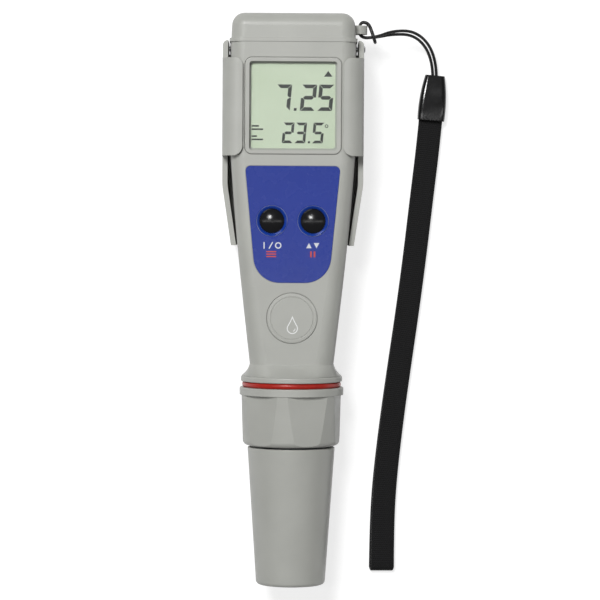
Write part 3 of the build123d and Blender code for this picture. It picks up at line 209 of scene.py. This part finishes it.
def metal(name, colour, rough=(0.16, 0.3), stretch=(1, 1, 1), round_=0.08):
    look = Look(name, Metallic=1.0).soften(round_)
    look.mottle(linear(*colour), 3.0, 0.06).wear(*rough, size=1.0)
    return look.relief(look.noise(0.3, detail=3, stretch=stretch), 0.002)


def clear(name, colour, rough, ior=1.49):
    """Clear plastic or glass. Light that falls on what lies under it passes straight through."""
    look = Look(name, Base_Color=linear(*colour), Transmission_Weight=1.0, IOR=ior)
    look.wear(rough, rough * 2.5, size=6.0)
    tree = look.tree
    out = tree.nodes["Material Output"]
    through = look.node("ShaderNodeBsdfTransparent", Color=linear(*colour))
    mix = look.node("ShaderNodeMixShader", Fac=rays_of(tree, "Is Shadow Ray", "Is Diffuse Ray"))
    tree.links.new(look.shader.outputs[0], mix.inputs[1])
    tree.links.new(through.outputs[0], mix.inputs[2])
    tree.links.new(mix.outputs[0], out.inputs["Surface"])
    return look


def paint(look, *nodes):
    """Gives a look to CAD nodes."""
    for node in nodes:
        slots = NODES[node].data.materials
        slots.clear()
        slots.append(look.material)


HOUSING_GREY = (182, 183, 177)
LABEL_BLUE = (38, 60, 154)
RING_BLUE = (24, 62, 158)
SEAL_RED = (176, 36, 26)

housing = moulded("housing_plastic", HOUSING_GREY)
paint(housing, "main_housing", "window_bezel", "battery_cap", "collar", "protective_cap", "seal_badge",
      "clip_frame")
paint(moulded("lever_plastic", (170, 171, 166)), "clip_lever")

film = Look("label_film", Specular_IOR_Level=0.3, Coat_Weight=0.1, Coat_Roughness=0.12).soften(0.06)
film.mottle(linear(*LABEL_BLUE), 14.0, 0.03).wear(0.25, 0.29, size=4.0)
film.relief(film.noise(0.5, detail=1), 0.0004)
paint(film, "front_label")
paint(gloss("ring_plastic", RING_BLUE), "button_rings")

button_look = rubber("button_rubber", (20, 20, 22), rough=(0.16, 0.26), round_=0.2)
paint(button_look, "power_button", "set_button")
paint(rubber("red_silicone", SEAL_RED, rough=(0.28, 0.4)), "neck_oring")
paint(rubber("black_rubber", (28, 28, 30)), "plug_seal", "cap_seal", "cap_gasket", "zebra_strips")
paint(clear("window_plastic", (250, 252, 250), 0.02), "display_window")
paint(clear("bulb_glass", (236, 243, 246), 0.01, ior=1.52), "glass_bulb")


def lcd_look():
    """Reflective liquid crystal: green grey that drifts a little lighter and darker over the panel, with faint
    darker specks, under a thin clear coat.
    """
    look = Look("lcd_glass", Specular_IOR_Level=0.5, Coat_Weight=0.2, Coat_Roughness=0.2)
    drift = look.spread(look.noise(16.0, detail=1), 0, 1)
    ground = look.blend(drift, linear(206, 217, 194), linear(215, 225, 204))
    speck = look.spread(look.noise(0.12, detail=1), 0.0, 0.12, 0.35, 0.75)
    look.feed("Base Color", look.blend(speck, ground, linear(176, 186, 166)))
    return look.wear(0.3, 0.42, size=3.0)


paint(lcd_look(), "lcd_panel")
paint(moulded("holder_plastic", (205, 205, 200)), "lcd_holder")


def board_look():
    """Solder mask with copper tracks that show through it as paler lines."""
    look = Look("solder_mask", Specular_IOR_Level=0.5, Coat_Weight=0.3, Coat_Roughness=0.15)
    lines = look.node("ShaderNodeTexBrick", Vector=look.place, Scale=1.0, Mortar_Size=0.00025,
                      Mortar_Smooth=0.2, Brick_Width=0.0075, Row_Height=0.0021)
    tracks = look.blend(lines.outputs["Fac"], linear(14, 74, 44), linear(34, 112, 66))
    look.feed("Base Color", tracks)
    look.wear(0.3, 0.4, size=2.0)
    return look.relief(lines.outputs["Fac"], 0.02)


paint(board_look(), "circuit_board")
paint(moulded("chip_epoxy", (26, 26, 28), rough=(0.45, 0.6)), "board_chips", "tact_switches",
      "electrode_socket", "battery_carrier")
paint(metal("gold_plate", (224, 180, 96)), "socket_tails", "contact_pins")
paint(metal("tinned_copper", (196, 176, 150), stretch=(1, 6, 1)), "sensor_lead")
paint(metal("nickel_steel", (190, 190, 192), stretch=(6, 1, 1)), "battery_contacts", "battery_cells",
      "cap_screws", "clip_pin", "clip_spring", "temperature_probe")
paint(metal("platinum", (214, 211, 205)), "orp_pin")
paint(moulded("electrode_plastic", (44, 45, 48), rough=(0.3, 0.4)), "electrode_body")
paint(moulded("porous_ceramic", (226, 222, 212), rough=(0.7, 0.85), grain=0.02), "reference_junction")
paint(gloss("ferrule_plastic", (12, 12, 13), rough=(0.14, 0.24), round_=0.35), "strap_ferrule")


# The lanyard's cord and its wrist strap

# Every route repeats the points that part.py gives the same piece
CORD_D = 0.95
BRAID_SCALE = 700.0
LANYARD_ROUTE = [(44.6, 67.4, 1.8), (44.8, 72.4, 2.2), (42.3, 79.4, 6.4), (37.2, 83.2, 11.2),
                 (30.6, 83.0, 15.0), (25.4, 80.9, 16.5), (20.2, 80.6, 16.5), (20.2, 85.5, 16.6),
                 (22.9, 85.4, 17.0), (24.2, 82.2, 17.55), (25.1, 79.3, 17.5), (25.1, 79.3, 14.5),
                 (24.2, 82.2, 14.45), (22.9, 85.4, 15.0), (20.2, 85.5, 15.4), (20.2, 80.6, 15.5),
                 (25.4, 80.9, 15.5), (30.4, 82.0, 14.1), (36.7, 82.1, 10.7), (41.3, 78.6, 6.0),
                 (43.6, 72.3, 2.2), (43.5, 67.4, 1.8)]
STRAP_WIDTH = 7.3
STRAP_THICK = 2.4
STRAP_ROUTE = [(43.2, 58.9), (42.25, 48.2), (40.3, 31.5), (38.3, 13.4), (36.1, -4.1), (33.6, -22.0),
               (31.3, -39.6), (29.4, -57.8), (28.8, -72.0), (28.85, -84.8)]


def route_curve(name, points):
    """A smooth curve with the route's points, in millimetres, as its control points."""
    data = bpy.data.curves.new(name, "CURVE")
    data.dimensions = "3D"
    data.resolution_u = 12
    spline = data.splines.new("NURBS")
    spline.points.add(len(points) - 1)
    for control, point in zip(spline.points, points):
        control.co = (*(mm(*point)), 1.0)
    spline.order_u = 3
    spline.use_endpoint_u = True
    curve = bpy.data.objects.new(name, data)
    bpy.context.scene.collection.objects.link(curve)
    return curve


def walked(curve):
    """The points that a curve with no bevel runs through."""
    mesh = bpy.data.meshes.new_from_object(curve)
    points = [vertex.co.copy() for vertex in mesh.vertices]
    bpy.data.meshes.remove(mesh)
    return points


def length_of(points):
    return sum((b - a).length for a, b in zip(points, points[1:]))


def cord_look():
    """A smooth braided cord: fine slanting stitches with a soft sheen."""
    look = Look("braided_cord", Roughness=0.42, Sheen_Weight=0.25, Sheen_Roughness=0.4)
    braid = look.node("ShaderNodeTexWave", Vector=look.place, Scale=BRAID_SCALE, bands_direction="DIAGONAL",
                      Distortion=0.4)
    look.mottle(linear(22, 22, 23), 1.5, 0.25)
    return look.relief(braid.outputs["Fac"], 0.05)


def add_lanyard():
    cord = route_curve("lanyard", LANYARD_ROUTE)
    length = length_of(walked(cord))
    cord.data.bevel_depth = CORD_D / 2 * MM
    cord.data.bevel_resolution = 4
    cord.data.use_fill_caps = True
    cord.data.materials.append(cord_look().material)
    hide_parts("lanyard_cord")
    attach(cord, "battery_cap")


def strap_look():
    """Black flat webbing: ribs across it, each broken into slanting picks by the weave, with painted shade in the
    weave's hollows and a painted highlight on its ridges.
    """
    look = Look("strap_webbing", Roughness=0.66, Specular_IOR_Level=0.3, Sheen_Weight=0.1, Sheen_Roughness=0.45)
    uv = look.node("ShaderNodeTexCoord").outputs["UV"]
    ribs = look.node("ShaderNodeTexWave", Vector=uv, Scale=0.5, bands_direction="X", Distortion=0.0)
    slant = look.node("ShaderNodeMapping", Vector=uv, Rotation=(0, 0, radians(32)))
    picks = look.node("ShaderNodeTexWave", Vector=slant.outputs[0], Scale=0.62, bands_direction="Y",
                      Distortion=0.6, Detail=1.0)
    weave = look.node("ShaderNodeMath", operation="MULTIPLY")
    look.tree.links.new(ribs.outputs["Fac"], weave.inputs[0])
    look.tree.links.new(picks.outputs["Fac"], weave.inputs[1])
    # Painted shade and highlight: the colour follows the weave's bumps, dark in the hollows and lighter on the
    # ridges
    weave_shading = look.blend(weave.outputs[0], linear(6, 6, 7), linear(34, 34, 36))
    look.feed("Base Color", look.blend(look.spread(look.noise(0.5), 0, 0.35), weave_shading, linear(15, 15, 16)))
    look.relief(weave.outputs[0], 0.22)
    return look.relief(look.noise(0.12, detail=2), 0.02)


LAYER_THICK = 1.1
LAYER_EDGE = 0.35         # how far in from its edge a layer starts to round off
EDGE_STEPS = 6
FLAT_STEPS = 6
FOLD_STEPS = 8
LAYER_DRIFT = 0.55        # how far the lower layer shows beside the upper one at the folded end


def band_section():
    """The webbing's section as (across, up) points: flat, with rounded edges."""
    half = STRAP_WIDTH / 2
    thick = LAYER_THICK / 2
    round_ = []
    for side in (1, -1):
        for step in range(EDGE_STEPS + 1):
            turn = pi * (step / EDGE_STEPS - 0.5) * side
            round_.append((side * (half - LAYER_EDGE + LAYER_EDGE * cos(turn)), thick * sin(turn)))
    across = []
    for a, b in zip(round_, round_[1:] + round_[:1]):
        across.append(a)
        if abs(a[0] - b[0]) > half:
            across += [(a[0] + (b[0] - a[0]) * i / FLAT_STEPS, a[1]) for i in range(1, FLAT_STEPS)]
    return across


def short_of_end(ahead, radius, turn):
    """How far a point of the fold stands back from the strap's end."""
    return ahead * (radius * (1 - sin(turn)))


def add_strap():
    """Doubled webbing on the table: out along the upper layer, round a fold, and back along the lower one."""
    guide = route_curve("strap_route", [(x, y, STRAP_THICK / 2) for x, y in STRAP_ROUTE])
    line = walked(guide)
    bpy.data.objects.remove(guide)
    total = length_of(line)
    lift = (STRAP_THICK - LAYER_THICK) / 2 * MM   # of a layer off the middle, and the fold's radius
    stations = []
    gone = 0.0
    for i, point in enumerate(line):
        ahead = (line[min(i + 1, len(line) - 1)] - line[max(i - 1, 0)]).normalized()
        gone += (point - line[i - 1]).length if i else 0.0
        stations.append((point, ahead, gone))
    end, ahead, _ = stations[-1]
    out = [(p, a, lift, 0.0, g) for p, a, g in stations if g < total - lift]
    turns = [pi * i / FOLD_STEPS for i in range(FOLD_STEPS + 1)]
    bend = [(end - short_of_end(ahead, lift, turn), ahead, lift * cos(turn), turn, total) for turn in turns]
    back = [(p, a, -lift, pi, 2 * total - g) for p, a, _, _, g in reversed(out)]
    section = band_section()
    bm = bmesh.new()
    uv_layer = bm.loops.layers.uv.new("along")
    rings = []
    for point, ahead, height, turn, run in out + bend + back:
        side = ahead.cross(Vector((0, 0, 1))).normalized()
        up = Vector((0, 0, 1)) * cos(turn) + ahead * sin(turn)
        share = min(run, 2 * total - run) / total
        drift = LAYER_DRIFT * MM * share ** 3 * (turn / pi)
        ring = [bm.verts.new(point + Vector((0, 0, height)) + side * (across * MM + drift) + up * (high * MM))
                for across, high in section]
        rings.append((ring, run))
    for (first, run_a), (second, run_b) in zip(rings, rings[1:]):
        count = len(first)
        for i in range(count):
            j = (i + 1) % count
            face = bm.faces.new((first[i], first[j], second[j], second[i]))
            face.smooth = True
            here, there = section[i][0], section[j][0]
            spots = ((run_a, here), (run_a, there), (run_b, there), (run_b, here))
            for loop, (along, across) in zip(face.loops, spots):
                loop[uv_layer].uv = (along / MM, across)
    bm.faces.new(reversed(rings[0][0]))
    bm.faces.new(rings[-1][0])
    bmesh.ops.recalc_face_normals(bm, faces=bm.faces)
    mesh = bpy.data.meshes.new("strap")
    bm.to_mesh(mesh)
    bm.free()
    strap = bpy.data.objects.new("strap", mesh)
    bpy.context.scene.collection.objects.link(strap)
    mesh.materials.append(strap_look().material)
    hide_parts("wrist_strap")
    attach(strap, "battery_cap")


add_lanyard()
add_strap()


# Flat marks on the label, the badge and the display

def flat_piece(name, outlines, low, thick, look, body="tester_body"):
    """Thin printed marks, given as lists of faces. A face is a list of (x, y) points in millimetres."""
    bm = bmesh.new()
    for faces in outlines:
        for face in faces:
            bm.faces.new([bm.verts.new((x * MM, y * MM, low)) for x, y in face])
    bmesh.ops.remove_doubles(bm, verts=bm.verts, dist=1e-7)
    bmesh.ops.recalc_face_normals(bm, faces=bm.faces)
    for face in bm.faces:
        if face.normal.z < 0:
            face.normal_flip()
    grown = bmesh.ops.extrude_face_region(bm, geom=list(bm.faces), use_keep_orig=True)
    moved = [part for part in grown["geom"] if isinstance(part, bmesh.types.BMVert)]
    bmesh.ops.translate(bm, verts=moved, vec=(0, 0, thick * MM))
    bmesh.ops.recalc_face_normals(bm, faces=bm.faces)
    mesh = bpy.data.meshes.new(name)
    bm.to_mesh(mesh)
    bm.free()
    made = bpy.data.objects.new(name, mesh)
    bpy.context.scene.collection.objects.link(made)
    mesh.materials.append(look.material)
    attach(made, body)
    return made


MITRE_LEAST = 0.35       # keeps the points of sharp corners short


def ribbon(points, width, closed=False):
    """Faces of a flat line of that width through points."""
    corners = [Vector(p) for p in points]
    count = len(corners)
    left, right = [], []
    for i, here in enumerate(corners):
        before = corners[i - 1] if closed or i else here
        after = corners[(i + 1) % count] if closed or i < count - 1 else here
        into = (here - before).normalized() if before != here else (after - here).normalized()
        out = (after - here).normalized() if after != here else into
        middle = (into + out).normalized()
        reach = width / 2 / max(MITRE_LEAST, middle.dot(out))
        side = Vector((-middle.y, middle.x)) * reach
        left.append(tuple(here + side))
        right.append(tuple(here - side))
    last = count if closed else count - 1
    return [[left[i], left[(i + 1) % count], right[(i + 1) % count], right[i]] for i in range(last)]


def arc(x, y, radius, start, end, steps=16):
    """Points on a circle, from start to end in degrees."""
    turns = [radians(start + (end - start) * i / steps) for i in range(steps + 1)]
    return [(x + radius * cos(t), y + radius * sin(t)) for t in turns]


# Numbers on the display
SEGMENTS = {"2": "abged", "3": "abgcd", "5": "afgcd", "7": "abc"}
SLANT = 0.09             # how far a digit leans to the right, as a share of its height
BIG_DIGIT = (4.55, 8.0, 1.12)     # width, height and stroke
SMALL_DIGIT = (3.35, 6.3, 0.84)
SEGMENT_GAP = 0.14


def digit_faces(digit, x, y, size):
    """A seven-segment digit with its lower left corner at x, y."""
    width, height, stroke = size
    gap = SEGMENT_GAP / 2
    middle, half = height / 2, stroke / 2
    bar = [(gap, height), (width - gap, height), (width - stroke - gap, height - stroke),
           (stroke + gap, height - stroke)]
    upright = [(width, height - gap), (width, middle + gap), (width - half, middle + gap),
               (width - stroke, middle + half + gap), (width - stroke, height - stroke - gap)]
    shapes = {
        "a": bar,
        "b": upright,
        "c": [(px, height - py) for px, py in upright],
        "d": [(px, height - py) for px, py in bar],
        "e": [(width - px, height - py) for px, py in upright],
        "f": [(width - px, py) for px, py in upright],
        "g": [(half + gap, middle), (stroke + gap, middle + half), (width - stroke - gap, middle + half),
              (width - half - gap, middle), (width - stroke - gap, middle - half), (stroke + gap, middle - half)],
    }
    return [[(x + px + py * SLANT, y + py) for px, py in shapes[name]] for name in SEGMENTS[digit]]


def dot_faces(x, y, size):
    """A decimal point."""
    return [[(x, y), (x + size, y), (x + size + size * SLANT, y + size), (x + size * SLANT, y + size)]]


def row_faces(row, low, size, dot):
    """A row of digits and points, each given with its left end."""
    return [dot_faces(x, low, dot) if sign == "." else digit_faces(sign, x, low, size) for sign, x in row]


def block(left, low, right, high):
    """A rectangle as one face."""
    return [(left, low), (right, low), (right, high), (left, high)]


BIG_ROW = (("7", -5.6), (".", 0.15), ("2", 2.0), ("5", 7.25))
BIG_LOW = 57.9
BIG_DOT = 0.85
SMALL_ROW = (("2", -3.45), ("3", 0.35), (".", 4.5), ("5", 5.7))
SMALL_LOW = 48.05
SMALL_DOT = 0.65
DEGREE = (10.2, 53.3, 0.42)       # x, y and radius of the small ring after the second row
DEGREE_STROKE = 0.24
BARS_LEFT = -12.6
BARS = ((-9.1, 52.0), (-10.4, 53.0), (-9.1, 48.9), (-11.0, 49.9))     # right end and lower edge of each
BAR_THICK = 0.5
ARROW = [(9.3, 68.3), (11.9, 68.3), (10.6, 70.1)]
INK_THICK = 0.02


def add_display():
    """Two rows of numbers, and small plain marks where the display has its signs."""
    ink = Look("lcd_ink", Roughness=0.35).mottle(linear(24, 28, 26), 3.0, 0.08)
    shapes = row_faces(BIG_ROW, BIG_LOW, BIG_DIGIT, BIG_DOT)
    shapes += row_faces(SMALL_ROW, SMALL_LOW, SMALL_DIGIT, SMALL_DOT)
    flat_piece("display_numbers", shapes, LCD_TOP, INK_THICK, ink)
    signs = [ribbon(arc(*DEGREE, 0, 360)[:-1], DEGREE_STROKE, closed=True)]
    signs += [[block(BARS_LEFT, low, right, low + BAR_THICK)] for right, low in BARS]
    signs.append([ARROW])
    flat_piece("display_signs", signs, LCD_TOP, INK_THICK, ink)


# Marks on the label: plain signs under each button, placed from the middle of each button's marks
LEFT_MARK_X = -6.4
RIGHT_MARK_X = 6.2
MARK_Y = 16.95
LOW_MARK_Y = 14.3
MARK_HALF = 1.0           # half the height of the upper marks
MARK_STROKE = 0.36
STROKE_AT = -2.2
SLASH_AT = (-0.7, 0.4)    # lower and upper end
RING_AT = 2.1
ARROW_AT = 1.15           # to each side
ARROW_HALF = (0.85, 0.8)  # half width and half height
LINE_HALF = (1.5, 0.17)
LINE_STEP = 0.75
PAUSE_AT = 0.55           # to each side
PAUSE_HALF = (0.25, 0.9)
MARK_THICK = 0.03


def add_label_marks():
    """A stroke, a slash and a ring in white on the left, two arrows on the right, and orange lines under each."""
    white = Look("white_ink", Roughness=0.4).mottle(linear(226, 228, 232), 2.0, 0.03)
    orange = Look("orange_ink", Roughness=0.4).mottle(linear(214, 74, 44), 2.0, 0.04)
    left = LEFT_MARK_X
    low, high = MARK_Y - MARK_HALF, MARK_Y + MARK_HALF
    slash_low, slash_high = SLASH_AT
    ring = arc(left + RING_AT, MARK_Y, MARK_HALF - MARK_STROKE / 2, 0, 360)[:-1]
    upper = [ribbon([(left + STROKE_AT, low), (left + STROKE_AT, high)], MARK_STROKE),
             ribbon([(left + slash_low, low), (left + slash_high, high)], MARK_STROKE),
             ribbon(ring, MARK_STROKE, closed=True)]
    wide, tall = ARROW_HALF
    for side in (-1, 1):
        x = RIGHT_MARK_X + side * ARROW_AT
        foot, tip = MARK_Y + side * tall, MARK_Y - side * tall
        upper.append([[(x - wide, foot), (x + wide, foot), (x, tip)]])
    flat_piece("white_marks", upper, LABEL_TOP, MARK_THICK, white)
    wide, tall = LINE_HALF
    lines = [LOW_MARK_Y + i * LINE_STEP for i in (-1, 0, 1)]
    lower = [[block(left - wide, y - tall, left + wide, y + tall)] for y in lines]
    wide, tall = PAUSE_HALF
    for x in (RIGHT_MARK_X - PAUSE_AT, RIGHT_MARK_X + PAUSE_AT):
        lower.append([block(x - wide, LOW_MARK_Y - tall, x + wide, LOW_MARK_Y + tall)])
    flat_piece("orange_marks", lower, LABEL_TOP, MARK_THICK, orange)


# A drop of water, drawn in one line on the badge
DROP_R = 1.55
DROP_HEIGHT = 5.0
DROP_STROKE = 0.3
DROP_RIGHT = 0.15        # of the badge's middle
DROP_OPEN = 22           # degrees of the belly's circle over its middle on each side
DROP_STEPS = 24
DROP_NECK = 0.42         # half width of its neck, as a share of the belly's radius
DROP_NECK_RISE = 2.0
SHINE_REACH = 0.55       # radius of the short inner stroke, as a share of the belly's
SHINE_FROM_TO = (285, 355)
SHINE_STEPS = 8
SHINE_STROKE = 0.24
DROP_LOWER = 3.1         # its belly's middle under the badge's middle


def add_badge_drop():
    white = Look("badge_ink", Roughness=0.4).mottle(linear(240, 241, 240), 2.0, 0.02)
    x = BADGE_MIDDLE.x / MM + DROP_RIGHT
    low = BADGE_MIDDLE.y / MM - DROP_LOWER
    tip = (x, low - DROP_R + DROP_HEIGHT)
    belly = arc(x, low, DROP_R, 180 - DROP_OPEN, 360 + DROP_OPEN, DROP_STEPS)
    neck = DROP_R * DROP_NECK
    outline = [(x - neck, low + DROP_NECK_RISE)] + belly + [(x + neck, low + DROP_NECK_RISE), tip]
    shine = arc(x, low, DROP_R * SHINE_REACH, *SHINE_FROM_TO, SHINE_STEPS)
    shapes = [ribbon(outline, DROP_STROKE, closed=True), ribbon(shine, SHINE_STROKE)]
    flat_piece("badge_drop", shapes, BADGE_TOP, MARK_THICK, white)


add_display()
add_label_marks()
add_badge_drop()


# Table, lamps and world

FLOOR_WHITE = 0.5
FLOOR_GLOW = 0.72
FLOOR_HALF = 3.0         # metres
FLOOR_DROP = 0.0002      # metres under the tester


def add_floor():
    """A white table. What looks at it sees it a little brighter than its light alone makes it."""
    mesh = bpy.data.meshes.new("table")
    corners = [(x, y, 0) for x, y in block(-FLOOR_HALF, -FLOOR_HALF, FLOOR_HALF, FLOOR_HALF)]
    mesh.from_pydata(corners, [], [(0, 1, 2, 3)])
    table = bpy.data.objects.new("table", mesh)
    table.location.z = -FLOOR_DROP
    bpy.context.scene.collection.objects.link(table)
    material = bpy.data.materials.new("table_white")
    material.use_nodes = True
    tree = material.node_tree
    tree.nodes.clear()
    out = tree.nodes.new("ShaderNodeOutputMaterial")
    diffuse = tree.nodes.new("ShaderNodeBsdfDiffuse")
    diffuse.inputs["Color"].default_value = (FLOOR_WHITE, FLOOR_WHITE, FLOOR_WHITE, 1)
    glow = tree.nodes.new("ShaderNodeEmission")
    seen = rays_of(tree, "Is Camera Ray", "Is Glossy Ray", "Is Transmission Ray")
    scaled = tree.nodes.new("ShaderNodeMath")
    scaled.operation = "MULTIPLY"
    scaled.inputs[1].default_value = FLOOR_GLOW
    both = tree.nodes.new("ShaderNodeAddShader")
    tree.links.new(seen, scaled.inputs[0])
    tree.links.new(scaled.outputs[0], glow.inputs["Strength"])
    tree.links.new(diffuse.outputs[0], both.inputs[0])
    tree.links.new(glow.outputs[0], both.inputs[1])
    tree.links.new(both.outputs[0], out.inputs["Surface"])
    mesh.materials.append(material)


# Each lamp's name, place and size in metres, and power in watts
LAMPS = (
    ("key", (-0.24, 0.45, 1.05), (0.3, 0.3), 8.6),
    ("left", (-0.5, 0.0, 0.85), (0.1, 0.9), 0.8),
    ("right", (0.5, 0.0, 0.85), (0.1, 0.9), 0.6),
    ("front", (0, -0.06, 1.1), (0.09, 0.06), 0.14),
)
WORLD_STRENGTH = 0.15


def add_lamp(name, at, size, power):
    """A soft rectangular lamp that points at the origin."""
    data = bpy.data.lights.new(name, "AREA")
    data.shape = "RECTANGLE"
    data.size, data.size_y = size
    data.energy = power
    lamp = bpy.data.objects.new(name, data)
    lamp.location = at
    lamp.rotation_euler = Vector(at).to_track_quat("Z", "Y").to_euler()
    bpy.context.scene.collection.objects.link(lamp)


def add_world(strength):
    world = bpy.data.worlds.new("studio")
    bpy.context.scene.world = world
    world.use_nodes = True
    back = world.node_tree.nodes["Background"]
    back.inputs["Color"].default_value = (1, 1, 1, 1)
    back.inputs["Strength"].default_value = strength


add_floor()
for lamp in LAMPS:
    add_lamp(*lamp)
add_world(WORLD_STRENGTH)
bpy.context.scene.view_settings.view_transform = "Standard"
